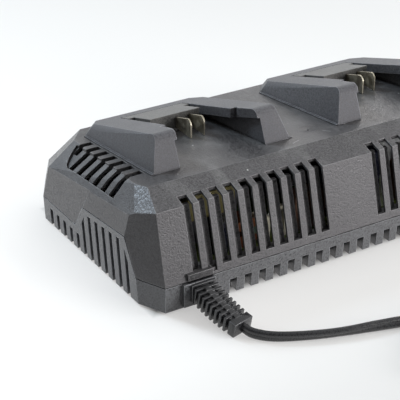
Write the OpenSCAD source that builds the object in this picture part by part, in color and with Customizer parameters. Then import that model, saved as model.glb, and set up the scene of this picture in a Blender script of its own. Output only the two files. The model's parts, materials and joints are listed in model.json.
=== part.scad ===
// Two-bay battery charger: a vented case, two slide-in bays, the electronics, a fan and a mains lead.
// X runs along the long side, the lead leaves the -Y side and the floor is z = 0.

/* [Case] */
// Length of the case
body_len = 232; // [222:1:250]
// Depth of the case, front to back
body_depth = 125.4; // [123:0.2:132]
// Height of the deck at its front edge
deck_h = 54; // [52:0.5:60]
// Fall of the deck per millimetre of depth
deck_fall = 0.13; // [0.11:0.01:0.14]
// Height of the seam between the shells
seam_h = 14.5; // [14:0.1:16]
// Wall thickness
wall = 2.5; // [2:0.1:2.8]
// Depth and height of the groove along the seam
groove = 0.4; // [0.2:0.1:0.6]
// Gap between the floor and the bottom edge of the walls
edge_lift = 1.2; // [0.8:0.1:1.6]
// Height of the underside of the base plate
plate_lift = 3; // [2.5:0.1:3.4]
// Thickness of the base plate
plate_t = 2.5; // [2:0.1:3]

/* [Front vents] */
// Slots in each group
slot_count = 10; // [6:1:10]
// Pitch of the slots
slot_pitch = 8; // [7:0.1:8.2]
// Width of a slot
slot_w = 4.8; // [3.5:0.1:5]
// Height of the lower end of the slots above the seam
slot_foot = 3.8; // [3:0.1:8]
// Width of the guard bars behind the slots
bar_w = 3.1; // [2:0.1:3.4]

/* [Lower vents] */
// Number of teeth along the front edge
tooth_count = 21; // [10:1:21]
// Pitch of the teeth
tooth_pitch = 8.2; // [7:0.05:8.2]
// Width of the notch beside each tooth
notch_w = 3.9; // [3:0.1:4.6]
// Height of the notches above the floor
notch_h = 8.8; // [8:0.1:10]
// Depth of the teeth
tooth_d = 5; // [4:0.1:5]
// Pitch of the slots in the ends
end_pitch = 7.16; // [6.4:0.02:7.2]
// Width of the slots in the ends
end_slot_w = 3; // [2:0.1:3.4]
// Height of the short slots in the ends
short_slot_h = 10.6; // [9:0.1:12]

/* [End louvres] */
// Number of louvre slots in each end
louvre_count = 7; // [4:1:7]
// Pitch of the louvre slots
louvre_pitch = 8.6; // [7:0.1:8.6]
// Width of a louvre slot
louvre_w = 4.6; // [3:0.1:4.6]
// Depth of the field around the louvres
louvre_sink = 1.2; // [0.4:0.1:1.2]

/* [Battery bays] */
// Distance between the middles of the bays
bay_pitch = 105.9; // [102:0.1:116]
// Half width of a bay guide at the deck
guide_foot = 38.4; // [37:0.1:40]
// Half width of the guide at its top
guide_top = 32.4; // [31:0.1:34]
// Height of the slanted top at the contact face
guide_h = 55.5; // [55:0.5:60]
// Rise of the slanted top per millimetre towards the front
guide_rise = 0.325; // [0.28:0.005:0.34]
// Half width between the lips
lip_half = 18.5; // [18:0.1:20]
// Half width of the channel under the lips
channel_half = 24; // [23:0.1:25]
// Thickness of a lip, measured straight down
lip_t = 5; // [4:0.1:6]
// Half width of the contact block
block_half = 14.3; // [13:0.1:15]
// Place of the front face of the contact block
block_front = 21; // [20:0.5:24]
// Place of the back edge of the contact block
block_back = 44.9; // [43:0.1:45]
// Thickness of a contact blade
blade_t = 0.8; // [0.6:0.1:1]
// Reach of the blades in front of the block
blade_reach = 14.8; // [12:0.1:16]

/* [Electronics] */
// Gap between the main board and each end of the case
board_end_gap = 26; // [25:0.5:28]
// Gap between the main board and the front and back of the case
board_side_gap = 16.7; // [16.2:0.1:17.7]
// Thickness of the main board
board_t = 1.6; // [1.2:0.1:2]
// Height of the board above the base plate
board_lift = 4.5; // [4:0.1:6]
// Side of the fan
fan_side = 30; // [30:1:31]
// Thickness of the fan
fan_t = 10; // [9:0.5:10]
// Radius of the fan rotor
rotor_r = 13.2; // [12:0.1:13.4]

/* [Lead] */
// Width of the flat lead
cord_w = 5.2; // [4.8:0.1:5.4]
// Thickness of the flat lead
cord_t = 3.2; // [3:0.1:3.4]
// Length of the strain relief outside the case
boot_len = 29.5; // [28:0.5:31]
// Width of the strain relief at the case
boot_w = 12.9; // [12:0.1:13.5]
// Height of the strain relief at the case
boot_h = 9; // [8.6:0.1:9.2]
// Radius of the coil at its mid turns
coil_r = 31; // [28:0.5:32]

/* [Hidden] */
$fn = 48;

hx = body_len / 2;
hy = body_depth / 2;
// The lead's boss stands out of the front wall, and the back wall reaches as far
boss_out = 1.8;
back_y = hy + boss_out;
bay_x = bay_pitch / 2;
big = 400;
plate_top = plate_lift + plate_t;
board_z = plate_top + board_lift;
board_top = board_z + board_t;
rim_h = notch_h + 1.1;
board_len = body_len - 2 * board_end_gap;
board_depth = body_depth - 2 * board_side_gap;
board_left = -board_len / 2;
board_right = board_len / 2;
board_front = -board_depth / 2;
board_back = board_depth / 2;

// Places along the depth, measured from the front and back faces
bend_y = -hy + 9.4;
deck_y = -hy + 25.5;
deck_back_y = hy - 5.7;
function deck(y) = deck_h - deck_fall * (y - deck_y);
function top(y) = guide_h - guide_rise * (y - 24);
bend_z = deck(deck_y) - 4.9;

// Corner points of one end, for x > 0
foot_a = [hx - 9.4, -hy, seam_h];
foot_b = [hx - 2.1, -hy + 14.8, seam_h];
bend_c = [hx - 10.4, bend_y, bend_z];
deck_c = [hx - 15.6, -hy + 23.7, deck(-hy + 23.7)];
crest_f = [hx - 12.5, -hy + 33.3, deck(-hy + 33.3)];
crest_b = [hx - 17.2, hy - 18.8, deck(hy - 18.8)];
should_f = [hx - 3.3, -hy + 21.7, deck(-hy + 21.7) - 10.1];
should_b = [hx - 1.2, hy - 21.4, deck(hy - 21.4) - 10.2];
back_a = [hx - 9.4, back_y, seam_h];
back_b = [hx, hy - 15.5, seam_h];
deck_b = [hx - 26.9, hy - 6, deck(hy - 6)];
// The raised panel of the lower shell: its front top corner, back top corner and riser foot
panel_f = [hx - 0.9, -hy + 23.2, deck(-hy + 23.2) - 21.2];
panel_b = [hx - 0.2, 2.3, deck(2.3) - 20];
riser = [hx - 0.8, 12.5, seam_h];
crease = [hx - 2.8, -2.6, deck(-2.6) - 8.5];

// Half-space beyond a plane through three points, its face moved inwards by t
heart = [0, 0, 22];
function unit(v) = v / norm(v);
function outward(a, b, c) = let (n = unit(cross(b - a, c - a))) n * (a - heart) > 0 ? n : -n;
module beyond(a, b, c, t = 0) {
    n = outward(a, b, c);
    translate(a - n * t)
        rotate([0, acos(n[2]), atan2(n[1], n[0])])
            translate([-big, -big, 0])
                cube([2 * big, 2 * big, big]);
}
function side(s, p) = [s * p[0], p[1], p[2]];
// How far the lower shell draws in from the seam to its bottom edge, along X and along Y
draw_in = [0.2, 0.6];
function low(p) = [p[0] - draw_in[0], p[1] - sign(p[1]) * draw_in[1], edge_lift];

// A plane that runs along X through two points of the depth profile
module beyond_x(y1, z1, y2, z2, t) {
    beyond([0, y1, z1], [10, y1, z1], [0, y2, z2], t);
}

module upper_core(t) {
    difference() {
        translate([-hx, -hy, seam_h])
            cube([2 * hx, hy + back_y, deck_h]);
        beyond_x(-hy, seam_h, bend_y, bend_z, t);
        beyond_x(bend_y, bend_z, deck_y, deck(deck_y), t);
        beyond_x(deck_y, deck(deck_y), deck_back_y, deck(deck_back_y), t);
        beyond_x(back_y, seam_h, deck_back_y, deck(deck_back_y), t);
        for (s = [-1, 1]) {
            beyond(side(s, foot_a), side(s, foot_b), side(s, bend_c), t);
            beyond(side(s, deck_c), side(s, crest_f), side(s, bend_c), t);
            beyond(side(s, should_f), side(s, crest_f), side(s, should_b), t);
            beyond(side(s, crest_f), side(s, crest_b), side(s, should_b), t);
            beyond(side(s, back_a), side(s, back_b), side(s, should_b), t);
            beyond(side(s, should_b), side(s, crest_b), side(s, deck_b), t);
        }
    }
}

// Region behind the upright crease in the ends
module behind_crease() {
    shift = (panel_b[1] - crease[1]) / (crease[2] - panel_b[2]);
    rotate([90, 0, 90])
        linear_extrude(4 * hx, center = true)
            polygon([[panel_b[1] + shift * panel_b[2], 0], [big, 0], [big, big],
                [panel_b[1] - shift * (big - panel_b[2]), big]]);
}

// Outer shape of the upper half, its planes moved inwards by t
module upper_form(t) {
    difference() {
        upper_core(t);
        behind_crease();
        for (s = [-1, 1])
            beyond(side(s, should_f), side(s, panel_f), side(s, panel_b), t);
    }
    difference() {
        intersection() {
            upper_core(t);
            behind_crease();
        }
        for (s = [-1, 1])
            beyond(side(s, riser), side(s, back_b), side(s, crease), t);
    }
}

// Outer shape of the lower half up to height z1, its planes moved inwards by t
module lower_form(t, z0, z1) {
    difference() {
        translate([-hx, -hy, z0])
            cube([2 * hx, hy + back_y, z1 - z0]);
        beyond_x(-hy, seam_h, -hy + draw_in[1], edge_lift, t);
        beyond_x(back_y, seam_h, back_y - draw_in[1], edge_lift, t);
        for (s = [-1, 1]) {
            beyond(side(s, foot_a), side(s, foot_b), side(s, low(foot_a)), t);
            beyond(side(s, back_a), side(s, back_b), side(s, low(back_a)), t);
            beyond(side(s, foot_b), side(s, riser), side(s, panel_f), t);
        }
    }
}

// Outline of the raised panel in depth and height, grown by g
function panel_shape(g) = [
    [riser[1] + g, seam_h - 0.01 - g],
    [riser[1] + g, seam_h],
    [panel_b[1] + g, panel_b[2] + g],
    [panel_f[1] - g / 2, panel_f[2] + g],
    [foot_b[1] - g / 2, seam_h],
    [foot_b[1] - g / 2, seam_h - 0.01 - g]];
module panel_prism(g, x0, x1) {
    for (s = [0, 1])
        mirror([s, 0, 0])
            translate([x0, 0, 0])
                rotate([90, 0, 90])
                    linear_extrude(x1 - x0)
                        polygon(panel_shape(g));
}

// Screw bosses and their places
boss_r = 4;
board_gap = 0.4;
boss_x = board_right + board_gap + boss_r + 2.6;
boss_y = board_back - 3.3;
mid_y = board_back + board_gap + boss_r;
boss_at = [[-boss_x, -boss_y], [boss_x, -boss_y], [-boss_x, boss_y], [boss_x, boss_y],
    [0, -mid_y], [0, mid_y]];
boss_split = 20;
screw_r = 1.5;
head_r = 2.9;
head_t = 2.2;
head_z = plate_lift + 2;

// The slots turn over the bend and end on the strip above it; two reach lower, behind the hood
function slot_x(g, k) = g * bay_x + (k - (slot_count - 1) / 2) * slot_pitch;
slot_end_y = bend_y + 6.3;
vent_wall = 1.3;
bar_back = 4;
hood_slots = 2;
hood_slot_foot = 1.5;
module front_slots() {
    for (g = [-1, 1], k = [0 : slot_count - 1]) {
        foot = g < 0 && k < hood_slots ? hood_slot_foot : slot_foot;
        translate([slot_x(g, k) - slot_w / 2, -hy - 5, seam_h + foot])
            cube([slot_w, slot_end_y + hy + 5, big / 4]);
    }
}

// Thinner wall over the field of slots
module vent_pocket() {
    intersection() {
        upper_form(vent_wall);
        for (g = [-1, 1])
            translate([g * bay_x - (slot_count + 0.6) * slot_pitch / 2, -hy, seam_h + 1])
                cube([(slot_count + 0.6) * slot_pitch, slot_end_y + hy + 0.8, big / 4]);
    }
}

// Bars that stand close behind the slots, in line with the wall, and stop a straight poke
module guard_bars() {
    bar_foot = seam_h + 1;
    y_foot = -hy + bar_back;
    y_head = bend_y + bar_back;
    top_z = bend_z - bar_back / 2;
    for (g = [-1, 1], k = [0 : slot_count - 1])
        translate([slot_x(g, k) + slot_w / 2 + 0.3 - bar_w, 0, 0])
            rotate([90, 0, 90])
                linear_extrude(bar_w)
                    polygon([[y_foot, bar_foot], [y_foot + 2, bar_foot], [y_head + 2, top_z],
                        [y_head, top_z]]);
    for (g = [-1, 1])
        translate([g * bay_x - (slot_count + 0.4) * slot_pitch / 2, -hy, bar_foot])
            cube([(slot_count + 0.4) * slot_pitch, 7.4, 1.6]);
}

louvre_back = hy - 26.9;
module louvre_slots() {
    for (s = [0, 1], k = [0 : louvre_count - 1]) {
        back = louvre_back - k * louvre_pitch;
        reach = k == 0 ? 10 : 17.2;
        mirror([s, 0, 0])
            translate([hx - 22.5, back - louvre_w, 22])
                cube([reach, louvre_w, big / 4]);
    }
}

// Sunken field around the louvres: the slope's two planes moved in inside this outline
module louvre_field() {
    intersection() {
        louvre_outline(louvre_back);
        for (s = [-1, 1]) {
            beyond(side(s, should_f), side(s, crest_f), side(s, should_b), louvre_sink);
            beyond(side(s, crest_f), side(s, crest_b), side(s, should_b), louvre_sink);
        }
    }
}
module louvre_outline(back) {
    for (s = [0, 1])
        mirror([s, 0, 0])
            translate([0, 0, 20])
                linear_extrude(60)
                    polygon([[hx - 4.9, back - louvre_count * louvre_pitch + 2],
                        [hx - 14.6, back - louvre_count * louvre_pitch + 3], [hx - 16, back + 2],
                        [hx - 13.5, back + 1], [hx - 9, back - 2.5], [hx - 6, back - 6],
                        [hx - 4.9, back - 9]]);
}

// Hood over the lead's exit and the dish in the deck
hood_x0 = hx - 20.9;
hood_x1 = hx - 34.3;
hood_z = seam_h + 1.1;
hood_t = 3.2;
hood_out = 1;
dish_y = -hy + 42.7;
dish_r = 4.6;

// Lamp windows in the back wall, one pair for each bay
lamp_w = 7;
lamp_h = 4;
lamp_at = [-bay_x - 7, -bay_x + 7, bay_x - 7, bay_x + 7];
lamp_z = 30;
module lamp_blocks() {
    lean = atan((back_y - deck_back_y) / (deck(deck_back_y) - seam_h));
    for (x = lamp_at)
        translate([x, back_y - (lamp_z - seam_h) * tan(lean), lamp_z])
            rotate([lean, 0, 0])
                translate([-lamp_w / 2, -wall, -lamp_h / 2])
                    cube([lamp_w, wall + 0.4, lamp_h]);
}

module upper_shell() {
    color([0.2, 0.2, 0.21])
    difference() {
        union() {
            difference() {
                upper_form(0);
                upper_form(wall);
                front_slots();
                vent_pocket();
                louvre_slots();
                louvre_field();
            }
            intersection() {
                upper_form(1);
                union() {
                    guard_bars();
                    for (p = boss_at)
                        translate([p[0], p[1], boss_split])
                            cylinder(r = boss_r, h = big / 4);
                }
            }
            // Hood over the strain relief
            translate([-hood_x0, -hy - hood_out, hood_z])
                cube([hood_x0 - hood_x1, hood_out + 2.2, hood_t]);
        }
        for (p = boss_at)
            translate([p[0], p[1], boss_split - 1])
                cylinder(r = screw_r, h = 13);
        panel_prism(0, hx - wall - 1.4, hx + 5);
        panel_prism(groove, hx - 2.2, hx + 5);
        // Groove along the seam, cut into the outer half of the wall
        difference() {
            translate([-hx - 5, -hy - 1, seam_h - 1])
                cube([2 * hx + 10, hy + back_y + 2, 1 + groove]);
            upper_form(1);
        }
        for (x = [-bay_x, bay_x])
            translate([x - block_half - hole_gap, block_front - hole_gap, block_foot])
                cube([2 * (block_half + hole_gap), block_back - block_front + 2 * hole_gap, big / 4]);
        translate([0, dish_y, deck(dish_y)])
            rotate([-atan(deck_fall), 0, 0]) {
                translate([0, 0, dish_r * 4 - 0.7])
                    sphere(r = dish_r * 4, $fn = 96);
                translate([0, 0, -1.6])
                    cylinder(r = 0.7, h = 3);
            }
        lamp_blocks();
    }
}

first_tooth = -(hx - 48.1);
module bottom_slots() {
    for (k = [0 : tooth_count - 1])
        translate([first_tooth + k * tooth_pitch - notch_w, -hy - 5, 0])
            cube([notch_w, 5 + tooth_d + 1, notch_h]);
}

// Limits of the tall slots in the raised panel, in depth and height
slot_field = [[riser[1] - 4.2, 0], [riser[1] - 4.2, seam_h], [panel_b[1] - 2.3, panel_b[2] - 2.7],
    [panel_f[1] + 2.5, panel_f[2] - 3.1], [foot_b[1] + 4, seam_h], [foot_b[1] + 4, 0]];
end_cut = 8;
module end_slots() {
    first = hy - 25.3;
    for (s = [0, 1])
        mirror([s, 0, 0]) {
            for (k = [0 : 4])
                translate([hx - end_cut, first - k * end_pitch, 0])
                    cube([2 * end_cut, end_slot_w, short_slot_h]);
            intersection() {
                for (k = [5 : 11])
                    translate([hx - end_cut, first - k * end_pitch, 0])
                        cube([2 * end_cut, end_slot_w, big / 4]);
                translate([hx - end_cut, 0, 0])
                    rotate([90, 0, 90])
                        linear_extrude(2 * end_cut)
                            polygon(slot_field);
            }
        }
}

// Places of the fan, the feet and the lead clamp
fan_x = -(hx - 12.8);
fan_y = -hy + 41.7;
fan_z = plate_top + fan_side / 2;
rail_t = 1.5;
foot_r = 6;
foot_seat = 1;
foot_at = [[-(hx - 28), -hy + 13], [hx - 28, -hy + 13], [-(hx - 28), hy - 13], [hx - 28, hy - 13]];
clamp_w = 16;
clamp_d = 5;
clamp_pin = 7.8;

// Exit of the lead: a boss on the front wall with a hole for the neck of the strain relief
exit_x = -(hx - 28.2);
exit_z = 9.35;
boss_x0 = hx - 18.2;
boss_x1 = hx - 35;
neck_w = 9;
neck_h = 5.6;

clamp_y = -hy + 11.4;
clamp_at = [[exit_x - 5.6, clamp_y], [exit_x + 5.6, clamp_y]];

board_post = [board_len / 2 - 5, board_depth / 2 - 5];
post_r = 3;
pin_r = 1.25;

module lower_shell() {
    color([0.19, 0.19, 0.2])
    difference() {
        union() {
            difference() {
                lower_form(0, edge_lift, seam_h);
                lower_form(tooth_d, edge_lift - 1, plate_lift);
                lower_form(tooth_d, plate_top, rim_h);
                lower_form(wall, rim_h, seam_h + 1);
                bottom_slots();
            }
            // Raised panels in the ends
            intersection() {
                panel_prism(0, hx - wall - 1.4, hx + 1);
                difference() {
                    lower_form(0, seam_h - 1, big / 4);
                    lower_form(wall, seam_h - 2, big / 3);
                }
            }
            translate([-boss_x0, -hy - boss_out, 2.6])
                cube([boss_x0 - boss_x1, boss_out + 3, seam_h - 2.6]);
            for (p = boss_at)
                translate([p[0], p[1], plate_lift])
                    cylinder(r = boss_r, h = boss_split - plate_lift);
            for (sx = [-1, 1], sy = [-1, 1])
                translate([sx * board_post[0], sy * board_post[1], plate_lift])
                    cylinder(r = post_r, h = board_z - plate_lift);
            // Seat of the lead clamp
            translate([exit_x - clamp_w / 2, clamp_y - clamp_d / 2, plate_top - 0.5])
                cube([clamp_w, clamp_d, exit_z - cord_t / 2 - plate_top + 0.5]);
            // Rails that hold the fan
            for (x = [fan_x - fan_t / 2 - rail_t, fan_x + fan_t / 2])
                translate([x, fan_y - fan_side / 2, plate_top - 0.5])
                    cube([rail_t, fan_side, 3.5]);
        }
        end_slots();
        for (p = boss_at) {
            translate([p[0], p[1], 0])
                cylinder(r = head_r + 0.4, h = head_z + head_t);
            translate([p[0], p[1], 0])
                cylinder(r = screw_r + 0.3, h = boss_split + 1);
        }
        for (sx = [-1, 1], sy = [-1, 1])
            translate([sx * board_post[0], sy * board_post[1], plate_top - 1])
                cylinder(r = pin_r, h = big / 4);
        for (p = clamp_at)
            translate([p[0], p[1], plate_top])
                cylinder(r = pin_r, h = 12);
        for (p = foot_at)
            translate([p[0], p[1], 0])
                cylinder(r = foot_r, h = plate_lift + foot_seat);
        translate([exit_x - neck_w / 2, -hy - 5, exit_z - neck_h / 2])
            cube([neck_w, 12, neck_h]);
    }
}

// One bay guide: two wings with lips around the pack and a strip behind it
guide_y0 = -hy + 37.1;
guide_front = -hy + 44.4;
guide_y1 = hy - 6.4;
strip_y = block_back + 0.6;
lip_y = -4;
round_r = 4;
flange_w = 1.2;
flange_t = 0.5;
flange_y1 = hy - 18;
module guide_side() {
    // Side outline in depth and height with a rounded top front corner
    a = top(guide_front);
    slope = atan(guide_rise);
    lean = atan((guide_front - guide_y0) / (a - deck(guide_y0)));
    half = (90 - slope + lean) / 2;
    reach = round_r / tan(half);
    turn = 45 + (slope + lean) / 2;
    corner = [guide_front, a];
    centre = corner + round_r / sin(half) * [cos(turn), -sin(turn)];
    p1 = corner + reach * [cos(slope), -sin(slope)];
    p2 = corner - reach * [sin(lean), cos(lean)];
    polygon([[guide_y0, deck(guide_y0)], p2, centre, p1, [guide_y1 - 1.6, top(guide_y1 - 1.6)],
        [guide_y1, deck(guide_y1)]]);
    intersection() {
        translate(centre)
            circle(r = round_r);
        polygon([corner, p1, centre, p2]);
    }
}
module bay_guide() {
    color([0.2, 0.2, 0.21])
    difference() {
        rotate([90, 0, 90])
            linear_extrude(2 * guide_foot + 2, center = true)
                guide_side();
        for (s = [-1, 1]) {
            beyond([s * guide_foot, guide_y0, deck(guide_y0)], [s * guide_foot, guide_y1, deck(guide_y1)],
                [s * (guide_top + 0.8), -17, top(-17)]);
            beyond([s * guide_foot, guide_y1, deck(guide_y1)], [s * guide_top, 48, top(48)],
                [s * (guide_top + 0.8), -17, top(-17)]);
            beyond([s * (guide_foot - 0.2), 46.4, deck(46.4)], [s * (guide_top - 0.4), 48.2, top(48.2)],
                [s * (guide_top - 5.6), 56.5, top(56.5)]);
        }
        translate([-lip_half, -big / 4, 0])
            cube([2 * lip_half, big / 4 + strip_y, big / 4]);
        // Channel under the lips
        rotate([90, 0, 90])
            linear_extrude(2 * channel_half, center = true)
                polygon([[-big / 4, 0], [strip_y, 0], [strip_y, top(strip_y) - lip_t],
                    [-big / 4, top(-big / 4) - lip_t]]);
        // Flared mouth in front of the lips and a notch at their ends
        linear_extrude(big / 4)
            polygon([[-lip_half - 2.2, lip_y], [lip_half + 2.2, lip_y],
                [channel_half - 0.6, guide_y0 - 1], [-channel_half + 0.6, guide_y0 - 1]]);
        translate([-lip_half - 3, lip_y - 0.5, 0])
            cube([2 * lip_half + 6, 2.6, big / 4]);
    }
    // Thin flange along the foot of each wing
    color([0.2, 0.2, 0.21])
    for (s = [0, 1])
        mirror([s, 0, 0])
            translate([guide_foot - 0.5, 0, 0])
                rotate([90, 0, 90])
                    linear_extrude(flange_w + 0.5)
                        polygon([[guide_y0, deck(guide_y0)], [flange_y1, deck(flange_y1)],
                            [flange_y1, deck(flange_y1) + flange_t], [guide_y0, deck(guide_y0) + flange_t]]);
}
module bay_guide_left() {
    translate([-bay_x, 0, 0])
        bay_guide();
}
module bay_guide_right() {
    translate([bay_x, 0, 0])
        bay_guide();
}

// Contact block: it stands in a hole in the deck and holds the blades
block_wide = 17.6;
block_step = 37.6;
block_foot = 30;
hole_gap = 0.3;
module block_side(y0) {
    rotate([90, 0, 90])
        linear_extrude(2 * block_wide, center = true)
            polygon([[y0, block_foot], [y0, top(y0)], [block_back, top(block_back)], [block_back, block_foot]]);
}
blade_x = [0.8, 8.4];
module blade_shapes() {
    for (x = blade_x)
        translate([x - blade_t / 2, 0, 0])
            rotate([90, 0, 90])
                linear_extrude(blade_t)
                    blade_side();
}
module blade_side() {
    y0 = block_front - blade_reach;
    y1 = block_front + 6;
    z0 = deck(y0) + 0.3;
    r = 3;
    drop = 2.2;
    zr = top(y0 + r) - drop - r;
    polygon([[y0, z0], [y0, zr], [y0 + r, zr], [y0 + r, zr + r], [y1, top(y1) - drop], [y1, board_top],
        [y1 - 3, board_top], [y1 - 3, z0 - 4], [block_front, z0]]);
    intersection() {
        translate([y0 + r, zr])
            circle(r = r);
        translate([y0, zr])
            square([r, r + 1]);
    }
}
module contact_block(x) {
    color([0.17, 0.17, 0.18])
    translate([x, 0, 0])
        difference() {
            union() {
                intersection() {
                    block_side(block_front);
                    translate([-block_half, 0, 0])
                        cube([2 * block_half, big / 4, big / 4]);
                }
                difference() {
                    block_side(block_step);
                    translate([0, 0, block_foot])
                        beyond_block();
                }
            }
            blade_shapes();
        }
}
// Region under the deck that the wide part of the block keeps clear of
module beyond_block() {
    rotate([90, 0, 90])
        linear_extrude(4 * block_wide, center = true)
            polygon([[block_step - 1, -big / 4], [block_back + 1, -big / 4],
                [block_back + 1, deck(block_back + 1) - block_foot],
                [block_step - 1, deck(block_step - 1) - block_foot]]);
}
module contact_block_left() {
    contact_block(-bay_x);
}
module contact_block_right() {
    contact_block(bay_x);
}
module contact_blades_left() {
    color([0.72, 0.7, 0.64])
    translate([-bay_x, 0, 0])
        blade_shapes();
}
module contact_blades_right() {
    color([0.72, 0.7, 0.64])
    translate([bay_x, 0, 0])
        blade_shapes();
}

module status_lamps() {
    color([0.75, 0.85, 0.75])
    lamp_blocks();
}

// Main board and what stands on it
module main_board() {
    color([0.35, 0.33, 0.12])
    difference() {
        translate([-board_len / 2, -board_depth / 2, board_z])
            cube([board_len, board_depth, board_t]);
        for (sx = [-1, 1], sy = [-1, 1])
            translate([sx * board_post[0], sy * board_post[1], board_z - 1])
                cylinder(r = pin_r, h = board_t + 2);
    }
}
module board_screws() {
    color("silver")
    for (sx = [-1, 1], sy = [-1, 1])
        translate([sx * board_post[0], sy * board_post[1], 0]) {
            translate([0, 0, board_top])
                cylinder(r = 2.4, h = 1.6);
            translate([0, 0, board_z - 4])
                cylinder(r = pin_r, h = board_t + 5);
        }
}

// Transformer: a ferrite frame around a taped winding
core_at = [board_left + 24, board_front + 23];
core_size = [36, 14, 36];
coil_half = 13;
limb_half = 6;
window_z = [10, 30];
module transformer_core() {
    color([0.12, 0.12, 0.13])
    translate([core_at[0], core_at[1], board_top])
        difference() {
            translate([-core_size[0] / 2, -core_size[1] / 2, 0])
                cube(core_size);
            for (s = [0, 1])
                mirror([s, 0, 0])
                    translate([limb_half, -core_size[1], window_z[0]])
                        cube([coil_half - limb_half, 2 * core_size[1], window_z[1] - window_z[0]]);
        }
}
module transformer_winding() {
    color([0.72, 0.62, 0.12])
    translate([core_at[0], core_at[1], board_top + window_z[0]])
        difference() {
            translate([-coil_half, -coil_half, 0])
                cube([2 * coil_half, 2 * coil_half, window_z[1] - window_z[0]]);
            translate([-limb_half, -core_size[1] / 2, -1])
                cube([2 * limb_half, core_size[1], window_z[1]]);
        }
}

// Ring choke on edge, wound in two halves
choke_at = [board_left + 38.2, board_front + 5];
choke_r = [3.6, 6.8];
choke_t = 6;
wire_t = 1.2;
module choke_place() {
    translate([choke_at[0], choke_at[1], board_top + choke_r[1] + wire_t])
        rotate([90, 0, 0])
            children();
}
module filter_choke() {
    color([0.25, 0.33, 0.2])
    choke_place()
        difference() {
            translate([0, 0, -choke_t / 2])
                cylinder(r = choke_r[1], h = choke_t);
            translate([0, 0, -choke_t])
                cylinder(r = choke_r[0], h = 2 * choke_t);
        }
}
module choke_winding() {
    color([0.72, 0.38, 0.18])
    choke_place()
        for (a = [-155, 25])
            rotate([0, 0, a])
                rotate_extrude(angle = 130)
                    difference() {
                        translate([choke_r[0] - wire_t, -choke_t / 2 - wire_t])
                            square([choke_r[1] - choke_r[0] + 2 * wire_t, choke_t + 2 * wire_t]);
                        translate([choke_r[0], -choke_t / 2])
                            square([choke_r[1] - choke_r[0], choke_t]);
                    }
}

// Two large cans and a small one, each as [x, y, radius, height]
cans = [[board_left + 95, board_front + 12, 9, 30], [board_left + 115, board_front + 12, 9, 30],
    [board_left + 25, board_front + 4.9, 4.7, 18]];
module bulk_capacitors() {
    color([0.1, 0.11, 0.16])
    for (c = cans)
        translate([c[0], c[1], board_top])
            cylinder(r = c[2], h = c[3]);
}
film_size = [18, 8, 20];
film_at = [[board_left + 75.5, board_front + 5], [board_left + 139, board_front + 5],
    [board_left + 76, board_back - 12]];
module film_capacitors() {
    color([0.75, 0.4, 0.15])
    for (p = film_at)
        translate([p[0] - film_size[0] / 2, p[1] - film_size[1] / 2, board_top])
            cube(film_size);
}

// Heat sinks: a plate with five fins each
sink_size = [46, 3, 28];
sink_at = [[board_right - 40, board_front + 25.5], [0, board_front + 41.5]];
fin_count = 5;
module heat_sinks() {
    color("silver")
    for (p = sink_at)
        translate([p[0] - sink_size[0] / 2, p[1], board_top]) {
            cube(sink_size);
            for (k = [0 : fin_count - 1])
                translate([k * (sink_size[0] - 2) / (fin_count - 1), 0, 0])
                    cube([2, 11, sink_size[2]]);
        }
}
switch_size = [10, 4.5, 16];
module power_switches() {
    color([0.08, 0.08, 0.09])
    for (p = sink_at, x = [-11, 11])
        translate([p[0] + x - switch_size[0] / 2, p[1] - switch_size[1], board_top])
            cube(switch_size);
}
relay_size = [19, 15, 15];
relay_at = [[board_left + 10, board_back - 24], [bay_x - 19, board_back - 24]];
module bay_relays() {
    color([0.1, 0.1, 0.11])
    for (p = relay_at)
        translate([p[0] - relay_size[0] / 2, p[1] - relay_size[1] / 2, board_top])
            cube(relay_size);
}

fuse_at = [board_left + 56, board_front + 5];
fuse_r = 2.6;
fuse_len = 18;
fuse_h = 9;
clip_w = 5.6;
clip_d = 8;
clip_h = 13;
module fuse_holder() {
    color([0.85, 0.83, 0.76])
    translate([fuse_at[0], fuse_at[1], board_top])
        for (s = [0, 1])
            mirror([s, 0, 0])
                difference() {
                    translate([fuse_len / 2 - clip_w + 0.6, -clip_d / 2, 0])
                        cube([clip_w, clip_d, clip_h]);
                    translate([0, 0, fuse_h])
                        rotate([0, 90, 0])
                            cylinder(r = fuse_r, h = fuse_len / 2);
                    translate([0, -1.8, fuse_h])
                        cube([fuse_len, 3.6, clip_h]);
                }
}
module fuse() {
    color([0.8, 0.85, 0.85])
    translate([fuse_at[0] - fuse_len / 2, fuse_at[1], board_top + fuse_h])
        rotate([0, 90, 0])
            cylinder(r = fuse_r, h = fuse_len);
}

// Fan behind the tall end slots
fan_bore = fan_side / 2 - 1.1;
hub_r = 6.5;
post_fan_r = 2.5;
fan_gap = 0.4;
module fan_place() {
    translate([fan_x, fan_y, fan_z])
        rotate([0, 90, 0])
            children();
}
module fan_frame() {
    color([0.13, 0.13, 0.14])
    fan_place() {
        difference() {
            translate([-fan_side / 2, -fan_side / 2, -fan_t / 2])
                cube([fan_side, fan_side, fan_t]);
            translate([0, 0, -fan_t])
                cylinder(r = fan_bore, h = 2 * fan_t);
            for (sx = [-1, 1], sy = [-1, 1])
                translate([sx * (fan_side / 2 - 3), sy * (fan_side / 2 - 3), -fan_t])
                    cylinder(r = 1.2, h = 2 * fan_t);
        }
        translate([0, 0, fan_t / 2 - 1.4])
            cylinder(r = hub_r, h = 1.4);
        translate([0, 0, -fan_t / 2 + 2])
            cylinder(r = post_fan_r, h = fan_t - 2);
        intersection() {
            translate([0, 0, fan_t / 2 - 1.4])
                cylinder(r = fan_bore + 0.2, h = 1.4);
            for (a = [45, 135])
                rotate([0, 0, a])
                    translate([-fan_side, -1, fan_t / 2 - 1.4])
                        cube([2 * fan_side, 2, 1.4]);
        }
    }
}
blade_count = 7;
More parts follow.
